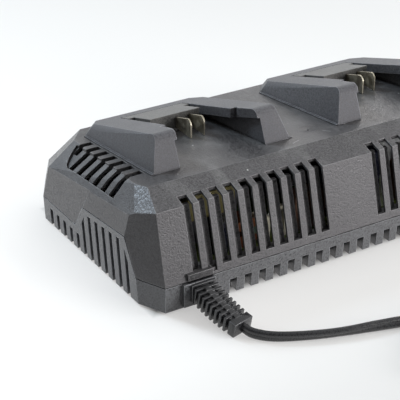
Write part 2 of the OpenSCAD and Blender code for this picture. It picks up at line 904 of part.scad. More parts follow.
module fan_rotor() {
    color([0.16, 0.16, 0.17])
    fan_place() {
        difference() {
            union() {
                translate([0, 0, -fan_t / 2 + 0.6])
                    cylinder(r = hub_r, h = fan_t - 2.6);
                for (k = [0 : blade_count - 1])
                    rotate([0, 0, k * 360 / blade_count])
                        intersection() {
                            translate([0, 0, -fan_t / 2 + 1])
                                cylinder(r = rotor_r, h = fan_t - 3.2);
                            translate([hub_r - 1.5, 0, -0.6])
                                rotate([40, 0, 0])
                                    translate([0, -5, -0.6])
                                        cube([rotor_r, 10, 1.2]);
                        }
            }
            translate([0, 0, -fan_t / 2 + 1.6])
                cylinder(r = post_fan_r + fan_gap, h = fan_t);
        }
    }
}

module case_screws() {
    color("silver")
    for (p = boss_at)
        translate([p[0], p[1], head_z + head_t]) {
            translate([0, 0, -head_t])
                cylinder(r = head_r, h = head_t);
            cylinder(r = screw_r, h = boss_split + 8 - head_z);
        }
}
module feet() {
    color([0.08, 0.08, 0.08])
    for (p = foot_at)
        translate([p[0], p[1], 0])
            cylinder(r = foot_r, h = plate_lift + foot_seat);
}

// Clamp that holds the lead inside the case
module cord_clamp() {
    color([0.85, 0.85, 0.82])
    difference() {
        translate([exit_x - clamp_w / 2, clamp_y - clamp_d / 2, exit_z - cord_t / 2])
            cube([clamp_w, clamp_d, cord_t + 2]);
        translate([exit_x - cord_w / 2, clamp_y - clamp_d, exit_z - cord_t / 2 - 1])
            cube([cord_w, 2 * clamp_d, cord_t + 1]);
        for (p = clamp_at)
            translate([p[0], p[1], 0])
                cylinder(r = pin_r, h = big);
    }
}
module clamp_screws() {
    color("silver")
    for (p = clamp_at)
        translate([p[0], p[1], exit_z + cord_t / 2 + 2]) {
            cylinder(r = 2.3, h = 1.6);
            translate([0, 0, -clamp_pin])
                cylinder(r = pin_r, h = clamp_pin + 0.5);
        }
}

// Smooth line through the points p with n steps to each stretch
function curve(a, b, c, d, t) = 0.5 * (2 * b + (c - a) * t + (2 * a - 5 * b + 4 * c - d) * t * t
    + (3 * b - a - 3 * c + d) * t * t * t);
function smooth(p, n) = concat([for (i = [0 : len(p) - 2], j = [0 : n - 1])
    curve(p[max(i - 1, 0)], p[i], p[i + 1], p[min(i + 2, len(p) - 1)], j / n)], [p[len(p) - 1]]);
module tube(p, w, h, aside = [0, 0, 1], k = 8) {
    last = len(p) - 1;
    points = [for (i = [0 : last])
        let (t = unit(p[min(i + 1, last)] - p[max(i - 1, 0)]), s = unit(cross(t, aside)), u = cross(s, t))
        for (j = [0 : k - 1])
            p[i] + s * (w / 2 * cos(360 * (j + 0.5) / k)) + u * (h / 2 * sin(360 * (j + 0.5) / k))];
    walls = [for (i = [0 : last - 1], j = [0 : k - 1])
        [i * k + j, i * k + (j + 1) % k, (i + 1) * k + (j + 1) % k, (i + 1) * k + j]];
    ends = [[for (j = [k - 1 : -1 : 0]) j], [for (j = [0 : k - 1]) last * k + j]];
    polyhedron(points, concat(walls, ends), convexity = 6);
}

// Inside, the lead lies under its clamp and splits into two wires to the board
lead_y0 = -hy + 8;
lead_y1 = -hy + 15;
module mains_leads() {
    color([0.12, 0.12, 0.12])
    translate([exit_x - cord_w / 2, lead_y0, exit_z - cord_t / 2])
        cube([cord_w, lead_y1 - lead_y0, cord_t]);
    color([0.35, 0.2, 0.12])
    for (s = [-1, 1])
        tube(smooth([[exit_x + s * 1.3, lead_y1 - 0.8, exit_z], [exit_x + s * 1.3, lead_y1 + 0.5, exit_z + 0.4],
            [exit_x + 0.5 + s * 1.3, lead_y1 + 0.9, board_top + 1], [exit_x + 1.5 + s * 1.6, lead_y1 + 2, board_top + 2.4],
            [exit_x + 3 + s * 2, lead_y1 + 3.1, board_top + 1.6], [exit_x + 3 + s * 2, lead_y1 + 3.2, board_top + 0.2]],
            3), 1.6, 1.6, [1, 0, 0]);
}

// Strain relief: neck in the wall, then a finned sleeve that bends sideways and sinks to the floor
boot_y = -hy - boss_out;
boot_yaw = [-0.5, 15.5];
boot_sink = 10.7;
boot_fins = 8;
fin_t = 1.4;
collar_t = 1.2;
tip_t = 4;
tip_w = 11.5;
tip_h = 7.3;
spine_w = 3.5;
core_w = 7;
fin_pitch = (boot_len - tip_t - collar_t) / (boot_fins + 0.3);
flange_y = -hy + 6.4;
bend_r = boot_len * cos(boot_sink) * 180 / (PI * (boot_yaw[1] - boot_yaw[0]));
function yaw(d) = boot_yaw[0] + (boot_yaw[1] - boot_yaw[0]) * d / boot_len;
function taper(d, a, b) = a + (b - a) * d / boot_len;
function boot_at(d) = [exit_x + bend_r * (cos(boot_yaw[0]) - cos(yaw(d))),
    boot_y - bend_r * (sin(yaw(d)) - sin(boot_yaw[0])), exit_z - d * sin(boot_sink)];
boot_tip = boot_at(boot_len);
boot_axis = [sin(boot_yaw[1]) * cos(boot_sink), -cos(boot_yaw[1]) * cos(boot_sink), -sin(boot_sink)];
module boot_slice(d, t, w, h) {
    translate(boot_at(d))
        rotate([0, 0, yaw(d + t / 2)])
            rotate([boot_sink, 0, 0])
                translate([-w / 2, -t, -h / 2])
                    cube([w, t, h]);
}
module strain_relief() {
    color([0.07, 0.07, 0.07]) {
        translate([exit_x - neck_w / 2, boot_y - 1, exit_z - neck_h / 2])
            cube([neck_w, flange_y - boot_y + 2.6, neck_h]);
        translate([exit_x - neck_w / 2 - 1.5, flange_y, exit_z - neck_h / 2 - 1])
            cube([neck_w + 3, 1.6, neck_h + 2]);
        translate([exit_x - boot_w / 2, boot_y - collar_t, exit_z - boot_h / 2])
            cube([boot_w, collar_t, boot_h]);
        boot_slice(collar_t / 2, fin_pitch, spine_w, boot_h - 0.8);
        for (k = [0 : boot_fins - 1]) {
            d = collar_t + (k + 0.3) * fin_pitch;
            boot_slice(d, fin_t, taper(d, boot_w, tip_w), taper(d, boot_h, tip_h));
            boot_slice(d, fin_pitch + 0.4, spine_w, taper(d, boot_h, tip_h));
        }
        for (k = [0 : boot_fins])
            boot_slice(k * fin_pitch, fin_pitch + 0.6, core_w, tip_h - 1.6);
        boot_slice(boot_len - tip_t, tip_t, tip_w, tip_h);
    }
}

// The lead outside: it lies on the floor, runs into a coil and ends in the plug
coil_at = [12, -167.3];
coil_w = 21.6;
coil_h = 6.8;
plug_at = [74, -147];
lead_points = [[-80.2, -100.5, 2.9], [-76.6, -104, 2.7], [-71.5, -107.2, 2.6], [-64, -110.9, 2.6],
    [-54.2, -114.9, 2.6], [-43, -118.4, 2.6], [-31.3, -121.3, 2.6], [-19.7, -124.2, 2.6],
    [-8, -126.7, 2.6], [2, -128, 2.7], [12, -128.5, 2.8]];
tail_points = [[36, -136.6, 4], [39.5, -140, 4], [45, -144, 4], [51, -146.4, 4.4], [57, -147, 5.6],
    [61, -147, 6.7], [63, -147, 7]];
module mains_cord() {
    color([0.06, 0.06, 0.06]) {
        tube(smooth(concat([boot_tip - boot_axis, boot_tip + boot_axis * 3.8], lead_points), 3),
            cord_w - 0.6, cord_w);
        tube(smooth(tail_points, 3), cord_w, cord_w);
    }
}
module cord_coil() {
    color([0.06, 0.06, 0.06])
    translate([coil_at[0], coil_at[1], 0])
        rotate_extrude($fn = 64) {
            translate([coil_r - coil_w / 2 + 2, 0])
                square([coil_w - 4, coil_h]);
            translate([coil_r - coil_w / 2, 2])
                square([coil_w, coil_h - 4]);
            for (x = [coil_r - coil_w / 2 + 2, coil_r + coil_w / 2 - 2], y = [2, coil_h - 2])
                translate([x, y])
                    circle(r = 2);
        }
}
tie_w = 9;
tie_t = 1;
module cord_tie() {
    color([0.3, 0.3, 0.32])
    translate([coil_at[0] - coil_r, coil_at[1] - tie_w / 2, 0])
        difference() {
            translate([-coil_w / 2 - tie_t - 0.6, 0, 0])
                cube([coil_w + 2 * tie_t + 1.2, tie_w, coil_h + tie_t + 0.3]);
            translate([-coil_w / 2 - 0.6, -1, -1])
                cube([coil_w + 1.2, tie_w + 2, coil_h + 1.3]);
        }
}

// Flat two-pin plug that lies on the floor
plug_w = 35;
plug_t = 14;
plug_len = 34;
pin_gap = 19;
pin_d = 4;
pin_len = 19;
module plug_body() {
    color([0.07, 0.07, 0.07])
    translate([plug_at[0], plug_at[1], 0])
        difference() {
            translate([-12, 0, 0])
                linear_extrude(plug_t)
                    polygon([[0, -4], [12, -6.5], [22, -plug_w / 2], [12 + plug_len, -plug_w / 2 + 3],
                        [12 + plug_len, plug_w / 2 - 3], [22, plug_w / 2], [12, 6.5], [0, 4]]);
            translate([-14, -20, plug_t - 3])
                cube([12, 40, 10]);
            translate([-14, -20, -7])
                cube([12, 40, 10]);
        }
}
module plug_pins() {
    color([0.8, 0.76, 0.6])
    for (s = [-1, 1])
        translate([plug_at[0] + plug_len, plug_at[1] + s * pin_gap / 2, plug_t / 2])
            rotate([0, 90, 0]) {
                cylinder(r = pin_d / 2, h = pin_len - 1);
                cylinder(r = pin_d / 2 - 0.6, h = pin_len);
            }
}

upper_shell();
lower_shell();
bay_guide_left();
bay_guide_right();
contact_block_left();
contact_block_right();
contact_blades_left();
contact_blades_right();
status_lamps();
main_board();
board_screws();
transformer_core();
transformer_winding();
filter_choke();
choke_winding();
bulk_capacitors();
film_capacitors();
heat_sinks();
power_switches();
bay_relays();
fuse_holder();
fuse();
fan_frame();
fan_rotor();
case_screws();
feet();
cord_clamp();
clamp_screws();
mains_leads();
strain_relief();
mains_cord();
cord_coil();
cord_tie();
plug_body();
plug_pins();
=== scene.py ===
# %% [markdown]
# # A two-bay charger for power tool batteries
# The charger is a low case of sand-textured charcoal plastic with two bays on its deck, rows of vents
# all round and a flat mains lead with a finned strain relief. Its solids come from a CAD model, so every
# shape already has its true place. This lesson gives those solids soft edges and real finishes, lays the
# lead from the case to its plug, and lights the whole in a plain white studio.

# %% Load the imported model
import json
import math

import bpy
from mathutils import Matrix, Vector


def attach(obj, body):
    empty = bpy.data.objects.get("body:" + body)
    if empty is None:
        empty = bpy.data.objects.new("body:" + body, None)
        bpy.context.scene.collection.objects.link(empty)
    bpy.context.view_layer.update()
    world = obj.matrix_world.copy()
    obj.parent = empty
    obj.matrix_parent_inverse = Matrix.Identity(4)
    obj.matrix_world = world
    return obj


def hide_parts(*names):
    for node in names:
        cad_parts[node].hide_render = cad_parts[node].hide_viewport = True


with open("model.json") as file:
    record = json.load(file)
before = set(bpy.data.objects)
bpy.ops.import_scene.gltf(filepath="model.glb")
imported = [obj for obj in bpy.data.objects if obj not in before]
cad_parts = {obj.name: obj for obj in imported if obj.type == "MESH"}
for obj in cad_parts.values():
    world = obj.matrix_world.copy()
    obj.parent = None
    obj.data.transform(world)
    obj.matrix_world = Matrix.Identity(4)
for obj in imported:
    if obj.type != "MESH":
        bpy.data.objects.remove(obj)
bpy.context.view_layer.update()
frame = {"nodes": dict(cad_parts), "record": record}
nodes = frame["nodes"]
mm = 0.001
for preview in list(bpy.data.materials):
    bpy.data.materials.remove(preview)

# %% [markdown]
# ## The camera
# The camera comes first, because everything else is judged through it. It stands to the left of the case
# and looks down on it with a long lens, so the front and the left end both show and the right end runs
# out of the frame. Depth of field stays off, which keeps every view sharp.

# %% Place the camera
eye = (-0.3658, -0.5265, 0.3495)
eye_tilt = 61.48
eye_turn = -30.89
film_width = 36
long_lens = 124.1

bpy.ops.object.camera_add(location=eye, rotation=(math.radians(eye_tilt), 0, math.radians(eye_turn)))
camera = bpy.context.object
camera.name = "studio_camera"
camera.data.sensor_fit = "HORIZONTAL"
camera.data.sensor_width = film_width
camera.data.lens = long_lens
bpy.context.scene.camera = camera
bpy.context.scene.view_settings.view_transform = "Standard"
print("camera at", tuple(camera.location), "lens", camera.data.lens)

# %% [markdown]
# ## The route of the lead
# A free lead is a fixed length of something that bends, so its line is settled before its shape. It
# leaves the front wall inside the strain relief, sinks to the floor, swings to the right and is wound
# into a flat coil of four turns beside each other in two layers, with the plug lying next to it. The
# stretches outside the coil are short lists of points in millimetres, because they follow no rule.

# %% Points of the free stretches
lead_w = 5.2 * mm
lead_t = 3.2 * mm
boot_points = [(-87.8, -64.5, 9.35), (-87.7, -74.1, 7.5), (-86.6, -83.5, 5.7), (-84.0, -93.0, 3.9)]
floor_points = [(-82.7, -97.1, 3.1), (-80.2, -100.5, 2.8), (-76.6, -104, 2.7), (-71.5, -107.2, 2.6),
                (-64, -110.9, 2.6), (-54.2, -114.9, 2.6), (-43, -118.4, 2.6), (-31.3, -121.3, 2.6),
                (-19.7, -124.2, 2.5), (-8, -126.7, 2.3), (2, -128, 1.9)]
tail_points = [(45, -144, 4.0), (51, -146.4, 4.4), (57, -147, 5.6), (63, -147, 7), (70, -147, 7)]
print("points from the wall:", len(boot_points) + len(floor_points), "points to the plug:", len(tail_points))

# %% [markdown]
# The coil does follow a rule, so a loop works it out. The lead winds inwards on the floor and outwards
# again on top of that, and in the last quarter of each turn it slides over to the next radius. At the
# end it sinks a little as it leaves the coil.

# %% Wind the coil
coil_x = 12
coil_y = -167.3
turn_radii = [38.8, 33.6, 28.4, 23.2]
layer_z = [1.7, 5.0]
turn_steps = 24
kept_round = 0.75
last_steps = 4
last_drop = 0.2


def coil_point(step, radius, height):
    """A point on the coil; step 0 lies at its back, and the turns run clockwise from above."""
    angle = math.radians(90 - 360 * step / turn_steps)
    return (coil_x + radius * math.cos(angle), coil_y + radius * math.sin(angle), height)


def coil_points():
    """The centre of the lead round its turns, inwards on the floor and outwards again on top."""
    rows = [(r, layer_z[0]) for r in turn_radii] + [(r, layer_z[1]) for r in reversed(turn_radii)]
    points = []
    for turn, (radius, z) in enumerate(rows):
        next_radius, next_z = rows[min(turn + 1, len(rows) - 1)]
        for step in range(turn_steps):
            share = max(0.0, (step / turn_steps - kept_round) / (1 - kept_round))
            points.append(coil_point(step, radius + (next_radius - radius) * share,
                                     z + (next_z - z) * share))
    for step in range(last_steps):
        points.append(coil_point(step, turn_radii[0], layer_z[1] - last_drop * step))
    return points


route = [Vector(p) * mm for p in boot_points + floor_points + coil_points() + tail_points]

# %% [markdown]
# The lead is a flat twin cable: two round cores side by side in one jacket, with a shallow groove
# between them. Its outline is two arcs that meet in the grooves. The route is smoothed with a
# Catmull-Rom curve, which runs through all its points, so its length hardly changes.

# %% Smooth the line and draw the jacket's outline
core_r = lead_t / 2
core_x = (lead_w - lead_t) / 2
core_steps = 9
groove_angle = math.acos(-core_x / core_r)
steps_between = 3


def smooth_line(points):
    """Catmull-Rom points through the route."""
    smooth = []
    for i in range(len(points) - 1):
        a, b, c, d = (points[max(i - 1, 0)], points[i], points[i + 1], points[min(i + 2, len(points) - 1)])
        for step in range(steps_between):
            t = step / steps_between
            smooth.append(0.5 * (2 * b + (c - a) * t + (2 * a - 5 * b + 4 * c - d) * t * t
                                 + (3 * b - a - 3 * c + d) * t * t * t))
    return smooth + [points[-1]]


def jacket_outline():
    """The two cores' outline, once round."""
    arcs = []
    for side in (1, -1):
        for k in range(core_steps):
            angle = groove_angle * (2 * k / (core_steps - 1) - 1)
            arcs.append((side * (core_x + core_r * math.cos(angle)), side * core_r * math.sin(angle)))
    return arcs


line = smooth_line(route)
outline = jacket_outline()
print("rings:", len(line), "points in a ring:", len(outline))

# %% [markdown]
# A flat cable never lies quite flat. It leaves the strain relief on edge, twists to one side and back,
# and only lies down in the coil. A bevelled curve would not show that as well, so the outline is placed
# along the line in code, and each ring is turned by its own angle.

# %% Set the rings along the line
lead_turns = [(-87.8, 90), (-80, 88), (-64, 72), (-48, 62), (-36, 84), (-24, 116), (-8, 150), (4, 180)]
free_rings = 60


def turn_at(point, ring):
    """How far the jacket's wide side is turned from level, in radians; in the coil it lies flat."""
    x = point.x / mm
    if ring > free_rings or x >= lead_turns[-1][0]:
        return math.radians(lead_turns[-1][1])
    for (x0, a0), (x1, a1) in zip(lead_turns, lead_turns[1:]):
        if x <= x1:
            return math.radians(a0 + (a1 - a0) * max(0.0, (x - x0) / (x1 - x0)))


lead_vertices = []
for i, centre in enumerate(line):
    ahead = (line[min(i + 1, len(line) - 1)] - line[max(i - 1, 0)]).normalized()
    level = ahead.cross(Vector((0, 0, 1))).normalized()
    upright = level.cross(ahead)
    turn = turn_at(centre, i)
    across = level * math.cos(turn) + upright * math.sin(turn)
    along = upright * math.cos(turn) - level * math.sin(turn)
    lead_vertices += [centre + across * u + along * v for u, v in outline]
print("corners of the jacket:", len(lead_vertices))

# %% [markdown]
# Neighbouring rings are joined by a strip of four-cornered faces, as Bridge Edge Loops does in edit mode.
# One more face closes each end, so the jacket is a closed solid.

# %% Join the rings
ring_size = len(outline)
lead_faces = []
for near in range(0, (len(line) - 1) * ring_size, ring_size):
    far = near + ring_size
    for j in range(ring_size):
        after = (j + 1) % ring_size
        lead_faces.append((near + j, near + after, far + after, far + j))
last_ring = (len(line) - 1) * ring_size
lead_faces.append(tuple(range(ring_size - 1, -1, -1)))
lead_faces.append(tuple(range(last_ring, last_ring + ring_size)))
lead_mesh = bpy.data.meshes.new("mains_lead")
lead_mesh.from_pydata(lead_vertices, [], lead_faces)
mains_lead = bpy.data.objects.new("mains_lead", lead_mesh)
bpy.context.collection.objects.link(mains_lead)
print("faces of the jacket:", len(lead_faces))

# %% [markdown]
# The sweep may wind its faces either way, so their normals are made to point outwards, as one would with
# Shift+N in edit mode. Shading by angle then keeps the groove crisp and the round cores smooth.

# %% Turn the jacket's faces outwards
jacket_soft = 50


def pick(piece):
    """Make one piece the only selected and active one."""
    bpy.ops.object.select_all(action="DESELECT")
    piece.select_set(True)
    bpy.context.view_layer.objects.active = piece


pick(mains_lead)
bpy.ops.object.mode_set(mode="EDIT")
bpy.ops.mesh.select_all(action="SELECT")
bpy.ops.mesh.normals_make_consistent(inside=False)
bpy.ops.object.mode_set(mode="OBJECT")
bpy.ops.object.shade_smooth_by_angle(angle=math.radians(jacket_soft))
print("lead faces:", len(mains_lead.data.polygons))

# %% [markdown]
# ## Shared effects
# Several finishes need the same grain, edge wear and dust, so each effect is a node group that is built
# once and placed with its own values. The groups read object coordinates, which are metres here, so a
# grain of half a millimetre needs a noise scale near 2000. Nodes could be added and linked one line at a
# time, but two small helpers keep that short: one feeds an input, and one adds a node with its inputs.

# %% Helpers that add and feed nodes
def feed(tree, socket, value):
    """Link an input to another node's socket, or give it a plain value."""
    if isinstance(value, bpy.types.NodeSocket):
        tree.links.new(value, socket)
    else:
        socket.default_value = value


def add(tree, kind, settings=None, **inputs):
    """A node with its settings; its inputs go by name, or by number as i0, i1 and i2."""
    node = tree.nodes.new("ShaderNode" + kind)
    for key, value in (settings or {}).items():
        setattr(node, key, value)
    for key, value in inputs.items():
        numbered = key[0] == "i" and key[1:].isdigit()
        feed(tree, node.inputs[int(key[1:]) if numbered else key], value)
    return node


print("helpers:", feed.__name__, add.__name__)

# %% [markdown]
# Most of a finish is arithmetic on masks and mixing of colours, so each of those steps gets a name too.
# The helpers hand back the output socket, and can be nested like sums on paper.

# %% Helpers for sums, ranges and colours
def maths(tree, operation, a, b=0.0, c=0.0):
    """One step of arithmetic; c is what MULTIPLY_ADD adds."""
    return add(tree, "Math", {"operation": operation}, i0=a, i1=b, i2=c).outputs[0]


def spread(tree, value, low, high, to_low, to_high):
    """Map a value from one range to another, held inside it."""
    node = add(tree, "MapRange", {"clamp": True}, Value=value)
    for key, end in (("From Min", low), ("From Max", high), ("To Min", to_low), ("To Max", to_high)):
        feed(tree, node.inputs[key], end)
    return node.outputs[0]


def mix_color(tree, share, a, b):
    """From colour a to colour b by a share of 0 to 1; these are the Mix node's colour sockets."""
    node = add(tree, "Mix", {"data_type": "RGBA"}, i0=share, i6=a, i7=b)
    return node.outputs[2]


def times(tree, color, factor):
    """A colour made lighter or darker by a factor."""
    return add(tree, "VectorMath", {"operation": "SCALE"}, i0=color, Scale=factor).outputs[0]


def object_place(tree):
    """Where a point lies on the object, in metres."""
    return add(tree, "TexCoord").outputs["Object"]


print("helpers:", [step.__name__ for step in (maths, spread, mix_color, times, object_place)])

# %% [markdown]
# A node group is a small node tree of its own. Its sockets belong to the group's interface, and inside
# it a Group Input and a Group Output node stand for them. One helper makes the group, its sockets and
# those two nodes, and hands back the sockets to link from and to.

# %% A helper for node groups
def new_group(name, inputs, outputs):
    """An empty shader node group with its sockets; inputs are (name, kind, value), outputs (name, kind)."""
    group = bpy.data.node_groups.new(name, "ShaderNodeTree")
    for title, kind, value in inputs:
        socket = group.interface.new_socket(name=title, in_out="INPUT", socket_type="NodeSocket" + kind)
        socket.default_value = value
    for title, kind in outputs:
        group.interface.new_socket(name=title, in_out="OUTPUT", socket_type="NodeSocket" + kind)
    return group, group.nodes.new("NodeGroupInput").outputs, group.nodes.new("NodeGroupOutput").inputs


print("groups before the first effect:", len(bpy.data.node_groups))

# %% [markdown]
# Moulded charger cases have a spark-eroded sand texture. Up close it is a field of tiny pits, and from
# further away it reads as fine light and dark flecks that sparkle where a lamp is mirrored. A painted
# skin would need the case unwrapped. Noise on object coordinates doesn't, and stays sharp close up. Two
# noises are added, so the grain has two sizes, and it drives colour, gloss and height together.

# %% Sand texture
fine_grain = 1700.0
coarse_grain = 900.0
cloud_scale = 38.0
grain_span = (0.7, 1.3)
cloud_span = (0.3, 0.7)
fine_depth = 0.6
coarse_depth = 0.8
grain_gloss = 0.15

sand, given, result = new_group(
    "sand_texture",
    [("Color", "Color", (0.1, 0.1, 0.1, 1)), ("Fleck", "Float", 0.15), ("Cloud", "Float", 0.06),
     ("Roughness", "Float", 0.5)],
    [("Color", "Color"), ("Roughness", "Float"), ("Height", "Float")])
place = object_place(sand)
fine = add(sand, "TexNoise", Vector=place, Scale=fine_grain, Detail=0.0).outputs["Fac"]
coarse = add(sand, "TexNoise", Vector=place, Scale=coarse_grain, Detail=1.0).outputs["Fac"]
cloud = add(sand, "TexNoise", Vector=place, Scale=cloud_scale, Detail=3.0).outputs["Fac"]
fleck = spread(sand, maths(sand, "ADD", fine, coarse), *grain_span, -1.0, 1.0)
shade = maths(sand, "MULTIPLY_ADD", fleck, given["Fleck"], 1.0)
drift = maths(sand, "MULTIPLY", spread(sand, cloud, *cloud_span, -1.0, 1.0), given["Cloud"])
feed(sand, result["Color"], times(sand, given["Color"], maths(sand, "ADD", shade, drift)))
feed(sand, result["Roughness"], maths(sand, "MULTIPLY_ADD", fleck, grain_gloss, given["Roughness"]))
coarse_pits = maths(sand, "MULTIPLY", coarse, coarse_depth)
feed(sand, result["Height"], maths(sand, "MULTIPLY_ADD", fine, fine_depth, coarse_pits))
print(sand.name, "nodes:", len(sand.nodes))

# %% [markdown]
# Packs and hands rub a case at its edges, where the plastic turns pale, and an edge also catches a thin
# highlight, so the pale colour here paints both the wear and that highlight. That could be painted by hand,
# but the Bevel node finds the edges by itself: it gives the normal that a rounded edge would have, and
# where this differs from the face's own normal there is an edge. A noise breaks the mask up. Pieces with
# modelled round edges carry an "edge" attribute, which is used as well.

# %% Pale edges: wear and a painted highlight
wear_scale = 160.0
edge_span = (0.998, 0.975)
rub_span = (0.35, 0.6)
least_rub = 0.35

worn_highlit_edge, given, result = new_group(
    "worn_highlit_edge",
    [("Strength", "Float", 0.5), ("Radius", "Float", 0.0004)],
    [("Mask", "Float"), ("Normal", "Vector")])
modelled = add(worn_highlit_edge, "Attribute", {"attribute_name": "edge"}).outputs["Fac"]
round_normal = add(worn_highlit_edge, "Bevel", {"samples": 6}, Radius=given["Radius"]).outputs["Normal"]
flat_normal = add(worn_highlit_edge, "NewGeometry").outputs["Normal"]
agree = add(worn_highlit_edge, "VectorMath", {"operation": "DOT_PRODUCT"}, i0=round_normal, i1=flat_normal)
turned = spread(worn_highlit_edge, agree.outputs["Value"], *edge_span, 0.0, 1.0)
edge = maths(worn_highlit_edge, "MAXIMUM", modelled, turned)
rub = add(worn_highlit_edge, "TexNoise", Vector=object_place(worn_highlit_edge), Scale=wear_scale, Detail=4.0).outputs["Fac"]
rubbed_and_lit = maths(worn_highlit_edge, "MULTIPLY", edge, spread(worn_highlit_edge, rub, *rub_span, least_rub, 1.0))
# The mask paints both the pale of rubbed edges and a thin highlight along them.
feed(worn_highlit_edge, result["Mask"], maths(worn_highlit_edge, "MULTIPLY", rubbed_and_lit, given["Strength"]))
feed(worn_highlit_edge, result["Normal"], round_normal)
print(worn_highlit_edge.name, "nodes:", len(worn_highlit_edge.nodes))

# %% [markdown]
# Seams and inner corners get little light, and that shade is painted into the colour here. The Geometry
# node's Pointiness could find them, but it needs a dense mesh, which a CAD solid doesn't have. The Ambient
# Occlusion node tells how much of the sky a point sees within a short reach, and what sees little of it
# is painted dark, as shade.

# %% Painted shade in crevices
crevice_reach = 2.2 * mm
sky_span = (0.8, 0.45)

crevice_shade, given, result = new_group("painted_crevice_shade", [("Reach", "Float", crevice_reach)], [("Mask", "Float")])
open_sky = add(crevice_shade, "AmbientOcclusion", {"samples": 6}, Distance=given["Reach"]).outputs["AO"]
# The mask is painted shade: it grows where a point sees little of the sky.
feed(crevice_shade, result["Mask"], spread(crevice_shade, open_sky, *sky_span, 0.0, 1.0))
print(crevice_shade.name, "nodes:", len(crevice_shade.nodes))

# %% [markdown]
# Dust settles on what faces up. Specks could be scattered as tiny meshes, but at this size a mask is
# enough. Each cell of a Voronoi texture holds at most one speck, and its random colour decides whether
# there is one and how large it is. A stretched noise adds a faint wiped film.

# %% Settled dust
least_speck = 0.026
speck_range = 0.05
facing_span = (0.5, 0.9)
dust_on_walls = 0.12
smudge_span = (0.48, 0.72)
film_share = 0.16
wipe_scale = (70.0, 34.0, 50.0)

dust, given, result = new_group("settled_dust", [("Cells", "Float", 160.0), ("Share", "Float", 0.5)],
                                [("Mask", "Float")])
place = object_place(dust)
cell = add(dust, "TexVoronoi", Vector=place, Scale=given["Cells"])
chance = add(dust, "SeparateColor", Color=cell.outputs["Color"])
size = maths(dust, "MULTIPLY_ADD", maths(dust, "POWER", chance.outputs[0], 3.0), speck_range, least_speck)
speck = maths(dust, "LESS_THAN", cell.outputs["Distance"], size)
kept = maths(dust, "LESS_THAN", chance.outputs[1], given["Share"])
facing = add(dust, "SeparateXYZ", Vector=add(dust, "NewGeometry").outputs["Normal"])
upward = spread(dust, facing.outputs["Z"], *facing_span, dust_on_walls, 1.0)
wiped = add(dust, "Mapping", Vector=place, Scale=wipe_scale).outputs["Vector"]
smudge = add(dust, "TexNoise", Vector=wiped, Scale=1.0, Detail=5.0, Roughness=0.65).outputs["Fac"]
film = maths(dust, "MULTIPLY", spread(dust, smudge, *smudge_span, 0.0, film_share), given["Share"])
loose = maths(dust, "MAXIMUM", maths(dust, "MULTIPLY", speck, kept), film)
feed(dust, result["Mask"], maths(dust, "MULTIPLY", loose, upward))
print(dust.name, "nodes:", len(dust.nodes))

# %% [markdown]
# A hairline mark is what a sharp corner leaves when it slides over plastic. It is far thinner than any
# face of the mesh, so it is drawn as a mask: the distance to a short line. A little noise is added to
# the place first, so that the line wavers.

# %% Hairline mark
waver_scale = 420.0
waver = (0.8 * mm, 0.8 * mm, 0.0)

hairline, given, result = new_group(
    "hairline",
    [("From", "Vector", (0, 0, 0)), ("Direction", "Vector", (1, 0, 0)), ("Length", "Float", 0.004),
     ("Width", "Float", 0.0003)],
    [("Mask", "Float")])


def vector_step(operation, output=0, **inputs):
    """One Vector Math node of this group."""
    return add(hairline, "VectorMath", {"operation": operation}, **inputs).outputs[output]


place = object_place(hairline)
noise = add(hairline, "TexNoise", Vector=place, Scale=waver_scale, Detail=2.0).outputs["Color"]
centred = vector_step("SUBTRACT", i0=noise, i1=(0.5, 0.5, 0.5))
shaken = vector_step("MULTIPLY_ADD", i0=centred, i1=waver, i2=place)
reach = vector_step("SUBTRACT", i0=shaken, i1=given["From"])
along = vector_step("DOT_PRODUCT", "Value", i0=reach, i1=given["Direction"])
held = spread(hairline, along, 0.0, given["Length"], 0.0, given["Length"])
foot = times(hairline, given["Direction"], held)
gap = vector_step("DISTANCE", "Value", i0=reach, i1=foot)
feed(hairline, result["Mask"], maths(hairline, "LESS_THAN", gap, given["Width"]))
print("groups:", [group.name for group in bpy.data.node_groups])

# %% [markdown]
# ## Soft edges
# A moulded edge is never sharp: the tool rounds it a little, and the thin light line along it is what
# makes plastic look real. The shells are full of slots and ribs that a Bevel modifier can tear, so they,
# the guides, the contact blocks and the blades keep their faces. On the plastic ones the worn_highlit_edge group
# rounds the edges in the shading. The strain relief, plug, pins, tie, feet and lamps have plainer edges,
# and a Bevel modifier really rounds those. It gives its new faces their own material slot, and that slot
# is read once to write the "edge" attribute.

# %% Round the edges of a small piece
sharp_edge = 30
bevel_segments = 2


def keep_flat(piece):
    """Let large faces keep their own normals, and only the small ones between them curve."""
    weights = piece.modifiers.new("flat_faces_stay_flat", "WEIGHTED_NORMAL")
    weights.keep_sharp = True
    bpy.ops.object.modifier_apply(modifier=weights.name)


def round_off(piece, radius):
    """Bevel the sharp edges of the active piece, and mark the new faces; radius in millimetres."""
    for _ in ("faces", "rounded rims"):
        piece.data.materials.append(None)
    piece.data.polygons.foreach_set("material_index", [0] * len(piece.data.polygons))
    bevel = piece.modifiers.new("round_edges", "BEVEL")
    bevel.width = radius * mm
    bevel.segments = bevel_segments
    bevel.limit_method = "ANGLE"
    bevel.angle_limit = math.radians(sharp_edge)
    bevel.use_clamp_overlap = False
    bevel.material = 1
    bpy.ops.object.modifier_apply(modifier=bevel.name)
    keep_flat(piece)
    rims = [float(face.material_index) for face in piece.data.polygons]
    edge_mark = piece.data.attributes.new("edge", "FLOAT", "FACE")
    edge_mark.data.foreach_set("value", rims)
    piece.data.polygons.foreach_set("material_index", [0] * len(rims))
    piece.data.materials.clear()


print("edges that turn more than", sharp_edge, "degrees are bevelled in", bevel_segments, "segments")

# %% [markdown]
# A CAD solid comes as loose triangles, and its own mesh is left alone. A copy of it is merged and shaded
# by angle, and then takes its place. Copies that get real round edges also have their flat faces joined
# first, so that the Bevel modifier meets no stray edges.

# %% Copy the solids
same_point = 0.01 * mm
same_plane = 0.6


